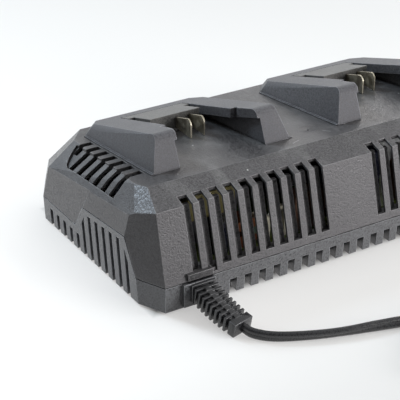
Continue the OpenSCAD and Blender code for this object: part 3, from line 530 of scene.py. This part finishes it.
def moulded(name, radius, soft):
    """A merged copy of a solid, bevelled where it has a radius, which takes the solid's place."""
    piece = bpy.data.objects.new(name + "_moulded", nodes[name].data.copy())
    bpy.context.collection.objects.link(piece)
    pick(piece)
    piece.data.materials.clear()
    bpy.ops.object.mode_set(mode="EDIT")
    bpy.ops.mesh.select_all(action="SELECT")
    bpy.ops.mesh.remove_doubles(threshold=same_point)
    bpy.ops.mesh.customdata_custom_splitnormals_clear()
    if radius:
        bpy.ops.mesh.dissolve_limited(angle_limit=math.radians(same_plane))
    bpy.ops.object.mode_set(mode="OBJECT")
    if radius:
        round_off(piece, radius)
    bpy.ops.object.shade_smooth_by_angle(angle=math.radians(soft))
    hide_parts(name)
    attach(piece, "case")
    print(name, "faces:", len(piece.data.polygons))
    return piece


crisp_pieces = ["upper_shell", "lower_shell", "bay_guide_left", "bay_guide_right", "contact_block_left",
                "contact_block_right", "contact_blades_left", "contact_blades_right"]
crisp_soft = 12
round_pieces = {"strain_relief": 0.3, "plug_body": 2.2, "plug_pins": 0.6, "cord_tie": 0.4, "feet": 0.5,
                "status_lamps": 0.2}
round_soft = 40
shapes = {name: moulded(name, 0, crisp_soft) for name in crisp_pieces}
shapes.update({name: moulded(name, radius, round_soft) for name, radius in round_pieces.items()})

# %% [markdown]
# A bay guide has a narrow facet between its steep side and its top. On the real guide the two run into
# each other as one soft curve. The first step is to find the edges between them: one face beside such an
# edge stands steep, and the other one leans.

# %% Find the seams on the guides' sides
guides = [shapes["bay_guide_left"], shapes["bay_guide_right"]]
steep_side = 0.85
facet_side = 0.4
facet_rise = (0.5, 0.92)


def side_seams(piece):
    """The edges between a guide's steep side and the narrow facet under its top."""
    beside = {}
    for face in piece.data.polygons:
        for key in face.edge_keys:
            beside.setdefault(key, []).append(face.normal.copy())
    seams = []
    for seam in piece.data.edges:
        pair = sorted(beside[seam.key], key=lambda normal: normal.z)
        if len(pair) != 2 or not facet_rise[0] < pair[1].z < facet_rise[1]:
            continue
        if abs(pair[0].x) > steep_side and abs(pair[1].x) > facet_side:
            seams.append(seam.index)
    return seams


print("seam edges:", [len(side_seams(guide)) for guide in guides])

# %% [markdown]
# More faces could model the curve, but shading is enough. The sharp mark comes off the seams, and the
# weighted normals then blend the small facet into the large side.

# %% Blend the guides' sides
for guide in guides:
    seams = side_seams(guide)
    pick(guide)
    bpy.context.tool_settings.mesh_select_mode = (False, True, False)
    bpy.ops.object.mode_set(mode="EDIT")
    bpy.ops.mesh.select_all(action="DESELECT")
    bpy.ops.object.mode_set(mode="OBJECT")
    for index in seams:
        guide.data.edges[index].select = True
    bpy.ops.object.mode_set(mode="EDIT")
    bpy.ops.mesh.mark_sharp(clear=True)
    bpy.ops.object.mode_set(mode="OBJECT")
    keep_flat(guide)
    print(guide.name, "edges softened:", len(seams))

# %% [markdown]
# ## Finishes
# The case is charcoal plastic with a sand texture. Its colour hardly changes from part to part, but each
# part was moulded in its own tool, so the lower shell, the guides and the contact blocks each get their
# own depth of texture and gloss. The material is built by one function and called with values.

# %% Colours and groups in a material
def srgb(red, green, blue):
    """A screen colour from 0 to 255 as the linear colour that a shader wants."""
    return tuple((c / 255 / 12.92 if c <= 10 else ((c / 255 + 0.055) / 1.055) ** 2.4)
                 for c in (red, green, blue)) + (1.0,)


def new_finish(name):
    """A new material, its node tree and its Principled shader."""
    material = bpy.data.materials.new(name)
    material.use_nodes = True
    return material, material.node_tree, material.node_tree.nodes["Principled BSDF"].inputs


def group_node(tree, group, **inputs):
    """A node group placed in a material, with its inputs set."""
    node = add(tree, "Group")
    node.node_tree = group
    for key, value in inputs.items():
        feed(tree, node.inputs[key], value)
    return node


print("dark charcoal as a linear colour:", srgb(69, 68, 69))

# %% [markdown]
# The finish is made in layers, from the bottom up: grain, pale edges that paint both wear and a highlight,
# painted shade in the crevices, dust, and hairline marks. Each layer is one mix of the colour below with a
# new one, by that layer's mask.
# Most of what one sees of dark plastic is its sheen, so the grain also feeds the gloss and the bump.

# %% Textured plastic
sheen_tint = (1.0, 0.975, 0.995, 1.0)
wear_highlight_gain = 4.5
wear_highlight_base = 0.02
grain_depth = 0.1 * mm
# The colour of the painted shade in seams and inner corners.
crevice_shade_color = srgb(28, 27, 29)
dust_color = srgb(196, 196, 194)
mark_color = srgb(150, 150, 150)
mark_width = 0.22 * mm


def textured_plastic(name, color, gloss=0.4, fleck=0.5, cloud=0.06, relief=0.6, wear_and_highlight=0.3, shine=0.5,
                     dusty=0.0, edge_radius=0.45, scratches=()):
    """Sand-textured plastic; edge_radius is in millimetres, and scratches are (start, direction, length)."""
    material, tree, shader = new_finish(name)
    shader["Specular IOR Level"].default_value = shine
    shader["Specular Tint"].default_value = sheen_tint
    skin = group_node(tree, sand, Color=color, Fleck=fleck, Cloud=cloud, Roughness=gloss)
    rubbed_and_lit_edge = group_node(tree, worn_highlit_edge, Strength=wear_and_highlight, Radius=edge_radius * mm)
    lighter = tuple(min(1.0, c * wear_highlight_gain + wear_highlight_base) for c in color[:3]) + (1.0,)
    # Paler edges: this colour paints wear and a thin highlight together.
    base = mix_color(tree, rubbed_and_lit_edge.outputs["Mask"], skin.outputs["Color"], lighter)
    # Finishes with pale edges also get painted shade in their crevices.
    if wear_and_highlight:
        painted_shade = group_node(tree, crevice_shade)
        base = mix_color(tree, painted_shade.outputs["Mask"], base, crevice_shade_color)
    if dusty:
        specks = group_node(tree, dust, Share=dusty)
        base = mix_color(tree, specks.outputs["Mask"], base, dust_color)
    for start, way, length in scratches:
        mark = group_node(tree, hairline, From=start, Direction=way, Length=length, Width=mark_width)
        base = mix_color(tree, mark.outputs["Mask"], base, mark_color)
    bump = add(tree, "Bump", Height=skin.outputs["Height"], Strength=relief, Distance=grain_depth,
               Normal=rubbed_and_lit_edge.outputs["Normal"])
    feed(tree, shader["Base Color"], base)
    feed(tree, shader["Roughness"], skin.outputs["Roughness"])
    feed(tree, shader["Normal"], bump.outputs["Normal"])
    return material


print("hairline marks are", mark_width / mm, "mm wide on either side")

# %% [markdown]
# The upper shell has the deepest grain, most of the dust and three hairline marks. The lower shell is a
# little lighter. The guides are duller, because packs slide along them, and the contact blocks sit deep
# in the bays, where hardly anything rubs them. One function makes all four, so they stay one family.

# %% Plastics of the case
case_marks = [
    ((-0.0285, -0.06174, 0.0173), (0.874, 0.149, 0.462), 0.0026),
    ((-0.0176, -0.0325, 0.05342), (0.928, 0.369, -0.048), 0.005),
    ((0.004, -0.0270, 0.0527), (0.6, -0.793, 0.103), 0.004)]
textured_plastic("case_plastic", srgb(69, 68, 69), gloss=0.45, fleck=0.55, cloud=0.12, relief=1.5,
                 wear_and_highlight=0.8, dusty=0.9, scratches=case_marks)
textured_plastic("lower_plastic", srgb(86, 87, 89), gloss=0.42, relief=1.4, wear_and_highlight=0.8, dusty=0.25)
textured_plastic("guide_plastic", srgb(86, 86, 89), gloss=0.55, fleck=0.4, wear_and_highlight=0.7, shine=0.3, dusty=0.25)
# The contact blocks' paler grey also paints in light on their front faces, which lie in the shade of the
# bays.
textured_plastic("block_plastic", srgb(100, 99, 97), gloss=0.55, fleck=0.3, shine=0.35)
print("finishes so far:", len(bpy.data.materials))

# %% [markdown]
# Rubber parts are darker and smoother than the case, with a soft sheen along their edges, which is painted
# into the colour as a paler grey along with some wear: the strain relief, the jacket of the lead and the
# body of the plug come from the same kind of compound. Its skin is the sand texture again with weak values,
# so it needs no group of its own.

# %% Satin rubber
rubber_edge_sheen = srgb(88, 88, 90)
rubber_depth = 0.05 * mm


def satin_rubber(name, color, gloss, wear_and_highlight=0.5):
    """Soft dark rubber with a faint grain, and paler edges that paint a sheen and some wear."""
    material, tree, shader = new_finish(name)
    skin = group_node(tree, sand, Color=color, Fleck=0.08, Cloud=0.15, Roughness=gloss)
    rubbed_and_lit_edge = group_node(tree, worn_highlit_edge, Strength=wear_and_highlight)
    # The paler grey at the edges is a painted sheen, with some wear.
    base = mix_color(tree, rubbed_and_lit_edge.outputs["Mask"], skin.outputs["Color"], rubber_edge_sheen)
    bump = add(tree, "Bump", Height=skin.outputs["Height"], Strength=0.12, Distance=rubber_depth)
    feed(tree, shader["Base Color"], base)
    feed(tree, shader["Roughness"], skin.outputs["Roughness"])
    feed(tree, shader["Normal"], bump.outputs["Normal"])
    return material


satin_rubber("boot_rubber", srgb(40, 40, 42), 0.34, wear_and_highlight=0.9)
cord_jacket = satin_rubber("cord_jacket", srgb(36, 36, 38), 0.32, wear_and_highlight=0.0)
satin_rubber("plug_plastic", srgb(40, 40, 42), 0.4)
satin_rubber("foot_rubber", srgb(34, 34, 35), 0.7)
print("finishes so far:", len(bpy.data.materials))

# %% [markdown]
# The blades are stamped from copper alloy and plated with nickel. Plating is bright but not a mirror: it
# shows a warm tone, faint lines from the stamping and a dull film where fingers and packs have touched.
# An anisotropic shader could smear the light along such lines, but a noise stretched along Z shows the
# lines themselves, in the gloss and in the height.

# %% Plated and bare metal
line_stretch = 0.05
line_gloss = 0.16
line_depth = 0.03 * mm
patch_scale = 260.0
patch_span = (0.42, 0.66)
film_dark = 0.45


def plated_metal(name, color, gloss, line_scale, film=0.3):
    """Bright metal with fine lines along Z and patches of dull film."""
    material, tree, shader = new_finish(name)
    shader["Metallic"].default_value = 1.0
    place = object_place(tree)
    stretched = add(tree, "Mapping", Vector=place, Scale=(line_scale, line_scale, line_scale * line_stretch))
    lines = add(tree, "TexNoise", Vector=stretched.outputs["Vector"], Scale=1.0, Detail=2.0).outputs["Fac"]
    patches = add(tree, "TexNoise", Vector=place, Scale=patch_scale, Detail=4.0).outputs["Fac"]
    dull = spread(tree, patches, *patch_span, 0.0, film)
    darker = tuple(c * film_dark for c in color[:3]) + (1.0,)
    even = maths(tree, "ADD", dull, gloss - line_gloss / 2)
    bump = add(tree, "Bump", Height=lines, Strength=0.15, Distance=line_depth)
    feed(tree, shader["Base Color"], mix_color(tree, dull, color, darker))
    feed(tree, shader["Roughness"], maths(tree, "MULTIPLY_ADD", lines, line_gloss, even))
    feed(tree, shader["Normal"], bump.outputs["Normal"])
    return material


plated_metal("blade_nickel", srgb(176, 170, 154), 0.4, 900.0, film=0.35)
plated_metal("pin_brass", srgb(222, 214, 190), 0.22, 700.0, film=0.2)
plated_metal("screw_steel", srgb(188, 188, 184), 0.35, 1200.0)
plated_metal("sink_aluminium", srgb(200, 201, 202), 0.4, 500.0)
plated_metal("copper_wire", srgb(132, 86, 62), 0.4, 1400.0)
print("finishes so far:", len(bpy.data.materials))

# %% [markdown]
# Inside the case the parts are small and show only as glimpses of colour through the vents, or with the
# case opened. Each has its true colour with a little drift and speckle, so none reads as flat paint. They
# differ only in a few values, so they stand in one table: colour, gloss, fleck and cloud.

# %% Finishes of the parts on the board
inner_finishes = {
    "board_laminate": ((92, 104, 48), 0.35, 0.1, 0.2),
    "ferrite": ((62, 62, 66), 0.6, 0.2, 0.12),
    "winding_tape": ((112, 104, 60), 0.45, 0.1, 0.12),
    "choke_core": ((66, 80, 66), 0.5, 0.1, 0.12),
    "capacitor_sleeve": ((26, 28, 40), 0.25, 0.1, 0.12),
    "film_capacitor": ((104, 78, 62), 0.4, 0.1, 0.12),
    "chip_plastic": ((44, 44, 46), 0.55, 0.15, 0.12),
    "relay_plastic": ((50, 50, 54), 0.25, 0.1, 0.12),
    "holder_plastic": ((214, 208, 188), 0.4, 0.1, 0.12),
    "fan_plastic": ((46, 46, 48), 0.35, 0.1, 0.12),
    "clamp_plastic": ((206, 206, 196), 0.45, 0.1, 0.12),
    "wire_insulation": ((92, 62, 46), 0.3, 0.1, 0.12),
    "tie_plastic": ((60, 60, 62), 0.8, 0.3, 0.12),
    "lamp_lens": ((216, 226, 214), 0.2, 0.03, 0.12)}
for name, (color, gloss, fleck_share, cloud_share) in inner_finishes.items():
    textured_plastic(name, srgb(*color), gloss=gloss, fleck=fleck_share, cloud=cloud_share, relief=0.08,
                     wear_and_highlight=0.0, edge_radius=0.2)
print("finishes so far:", len(bpy.data.materials))

# %% [markdown]
# The transformer's winding sits on a dark flange. Both are one solid, so the colour changes with height:
# below the top of the flange the tape's colour gives way to a dark grey.

# %% The flange under the winding
flange_top = 28.5 * mm
flange_color = srgb(40, 40, 44)

tree = bpy.data.materials["winding_tape"].node_tree
tape_input = tree.nodes["Principled BSDF"].inputs["Base Color"]
height = add(tree, "SeparateXYZ", Vector=object_place(tree)).outputs["Z"]
above = maths(tree, "GREATER_THAN", height, flange_top)
feed(tree, tape_input, mix_color(tree, above, flange_color, tape_input.links[0].from_socket))
print("the tape starts at", flange_top / mm, "mm")

# %% [markdown]
# The fuse is a small glass tube. A see-through alpha would be cheaper, but wouldn't bend the light, so
# the glass is a clear transmission with hardly any roughness, and a trace of the grain keeps it from
# looking like polished crystal.

# %% Glass of the fuse
fuse_glass, tree, shader = new_finish("fuse_glass")
shader["Transmission Weight"].default_value = 1.0
shader["Metallic"].default_value = 0.0
skin = group_node(tree, sand, Color=srgb(236, 240, 238), Fleck=0.02, Cloud=0.03, Roughness=0.06)
feed(tree, shader["Base Color"], skin.outputs["Color"])
feed(tree, shader["Roughness"], skin.outputs["Roughness"])
print(fuse_glass.name, "is the last of", len(bpy.data.materials), "finishes")

# %% [markdown]
# ## Give every piece its finish
# The imported record names a material slot for each sub-part. The finishes above carry the same names, so a
# loop can hand them out: to the merged copies, and to the CAD solids that stay as they are. The lead
# then stands for its two CAD solids, which are hidden, and rides with the case.

# %% Hand out the finishes
slot_of = {part["node"]: part["material_slot"] for part in frame["record"]["subparts"]}
for name, solid in nodes.items():
    finish = bpy.data.materials[slot_of[name]]
    if name in shapes:
        shapes[name].data.materials.append(finish)
    elif name not in ("mains_cord", "cord_coil"):
        solid.data.materials.clear()
        solid.data.materials.append(finish)
mains_lead.data.materials.append(cord_jacket)
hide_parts("mains_cord", "cord_coil")
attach(mains_lead, "case")
print("slots handed out:", len(slot_of))

# %% [markdown]
# ## The studio
# A product table is a pale floor under large soft lamps. The lamps stay at a level at which a colour
# renders about as it is written, so the floor alone would come out grey. A little light of its own takes
# it to the near white of the sweep. Only the camera, glass and reflections see that light, so it sheds
# none on the case.

# %% Lay the floor
floor_size = 8.0

bpy.ops.mesh.primitive_plane_add(size=floor_size, location=(0, 0, 0))
floor = bpy.context.object
floor.name = "studio_floor"
floor_paint, tree, shader = new_finish("studio_floor")
shader["Roughness"].default_value = 0.9
shader["Base Color"].default_value = srgb(189, 189, 187)
shader["Emission Color"].default_value = (1.0, 0.99, 0.985, 1.0)
floor.data.materials.append(floor_paint)
place = add(tree, "SeparateXYZ", Vector=object_place(tree)).outputs
rays = add(tree, "LightPath").outputs
print("floor:", floor_size, "m square")

# %% [markdown]
# The lamps stand to the front and right and fall off to the left, so the floor's own light rises to the
# left and sinks to the front, the back and the right. That keeps the sweep at about one tone close to
# white. Far from the case it would fall below zero, so it is held at a least level.

# %% The floor's own light
own_level = 0.385
least_level = 0.15
left_end = -0.42
right_end = 0.35
left_rise_from = (-0.15, -0.02)
left_rise = (0.2, 0.58)
right_dip = 0.055
front_from = (-0.1, -0.3)
front_dip = 0.3
back_from = (0.08, 0.9)
back_dip = 0.4

leftward = maths(tree, "POWER", spread(tree, place["X"], right_end, left_end, 0.0, 1.0), 2.0)
to_back = spread(tree, place["Y"], *left_rise_from, *left_rise)
lift = maths(tree, "SUBTRACT", maths(tree, "MULTIPLY", leftward, to_back), right_dip)
behind = spread(tree, place["Y"], *back_from, 0.0, back_dip)
in_front = spread(tree, place["Y"], *front_from, 0.0, front_dip)
fall = maths(tree, "ADD", behind, in_front)
level_here = maths(tree, "SUBTRACT", maths(tree, "ADD", lift, own_level), fall)
own_light = maths(tree, "MAXIMUM", level_here, least_level)
print("own light: at the case", own_level, "at least", least_level)

# %% [markdown]
# Under the case the floor's own light has to go out, because the shadow there should stay dark. The mask
# is the distance from the case's outline: dark well inside it, nearly full at the outline, and quite full
# two centimetres away, so that last fade is a painted soft shadow at the foot of the case. Light Path then
# shows this light to straight rays only, which are those from the camera and those through glass.

# %% Keep the shadow under the case
case_half_x = 0.113
case_half_y = 0.0615
fade_inside = 6 * mm
fade_outside = 20 * mm
open_share = 0.95

past_side = maths(tree, "SUBTRACT", maths(tree, "ABSOLUTE", place["X"]), case_half_x)
past_front = maths(tree, "SUBTRACT", maths(tree, "ABSOLUTE", place["Y"]), case_half_y)
outside = maths(tree, "MAXIMUM", past_side, past_front)
under_case = spread(tree, outside, -fade_inside, 0.0, 0.0, open_share)
# Just outside the outline the floor's own light stays a little lower: a painted soft shadow.
beside_case = spread(tree, outside, 0.0, fade_outside, 0.0, 1.0 - open_share)
open_air = maths(tree, "ADD", under_case, beside_case)
straight = maths(tree, "MAXIMUM", rays["Is Camera Ray"], rays["Is Transmission Ray"])
to_camera = maths(tree, "MULTIPLY", straight, maths(tree, "MULTIPLY", own_light, open_air))
print("shadow mask: half sizes", case_half_x, case_half_y)

# %% [markdown]
# Reflections get a floor of their own. Walls that face the lamps mirror a bright sweep, and what faces
# the room to the front left mirrors a darker floor, which gives each facet of the case its own tone.

# %% What the case mirrors in the floor
mirrored_light = 1.05
mirrored_room = 0.35
room_way = (-0.7, -0.7, 0.0)
room_from = (0.09, 0.17)

to_room = add(tree, "VectorMath", {"operation": "DOT_PRODUCT"}, i0=object_place(tree), i1=room_way)
mirrored = spread(tree, to_room.outputs["Value"], *room_from, mirrored_light, mirrored_room)
to_gloss = maths(tree, "MULTIPLY", rays["Is Glossy Ray"], mirrored)
feed(tree, shader["Emission Strength"], maths(tree, "ADD", to_camera, to_gloss))
print("mirrored floor:", mirrored_light, "to", mirrored_room)

# %% [markdown]
# The world is the air around the table: bright on the side of the sweep and dim towards the room. An
# image of a real studio could give that, but one gradient is enough. What it sheds on the case and what
# the case mirrors of it both follow that gradient, and the camera and glass see it almost white.

# %% World
air_color = (0.97, 0.975, 0.98, 1.0)
sweep_way = (0.72, 0.55, 0.42)
sweep_from = (-0.5, 0.7)
shed_light = (0.12, 0.85)
mirrored_air = (0.22, 0.97)
seen_air = 0.97

world = bpy.data.worlds.new("studio_air")
bpy.context.scene.world = world
world.use_nodes = True
tree = world.node_tree
sky = tree.nodes["Background"].inputs
sky["Color"].default_value = air_color
toward = add(tree, "TexCoord").outputs["Generated"]
sweep_side = add(tree, "VectorMath", {"operation": "DOT_PRODUCT"}, i0=toward, i1=sweep_way).outputs["Value"]
rays = add(tree, "LightPath").outputs
room = spread(tree, sweep_side, *sweep_from, *shed_light)
mirrored_sweep = spread(tree, sweep_side, *sweep_from, *mirrored_air)
lit = spread(tree, rays["Is Glossy Ray"], 0.0, 1.0, room, mirrored_sweep)
straight = maths(tree, "MAXIMUM", rays["Is Camera Ray"], rays["Is Transmission Ray"])
feed(tree, sky["Strength"], spread(tree, straight, 0.0, 1.0, lit, seen_air))
print("air:", shed_light, "mirrored:", mirrored_air, "seen:", seen_air)

# %% [markdown]
# Round area lamps stand in for softboxes. Two at the front right carry the light, three more fill the
# top, the right and the back, and a cool one behind the left end plays a window, whose light glances off
# the slope there. All of them aim at the middle of the case.

# %% Soft lamps
lamp_aim = Vector((0, 0, 0.03))
lamps = {
    "front_softbox": ((1.0, -1.55, 0.35), 1.0, 15.5, (0.97, 0.96, 1.0)),
    "front_lamp": ((0.9, -1.7, 0.5), 0.8, 10.5, (1.0, 0.99, 0.95)),
    "high_lamp": ((1.2, -1.0, 1.2), 0.8, 7.5, (0.96, 0.98, 1.0)),
    "right_lamp": ((1.8, 0.0, 0.8), 0.8, 5.0, (1.0, 0.97, 0.94)),
    "back_lamp": ((1.2, 1.3, 0.8), 0.8, 4.5, (1.0, 0.98, 0.96)),
    "window": ((-0.72, 1.24, 1.2), 0.5, 16.0, (0.72, 0.87, 1.0))}
for name, (stand, size, power, color) in lamps.items():
    bpy.ops.object.light_add(type="AREA", location=stand)
    lamp = bpy.context.object
    lamp.name = name
    lamp.data.shape = "DISK"
    lamp.data.size = size
    lamp.data.energy = power
    lamp.data.color = color
    lamp.rotation_euler = (lamp_aim - Vector(stand)).to_track_quat("-Z", "Y").to_euler()
    print(name, "power:", power)

# %% [markdown]
# ## The end
# The case, the lead, the finishes and the studio are all set up.

# %% Close the scene
print("boxes written for", len(nodes), "nodes and", len(shapes) + 1, "new pieces")
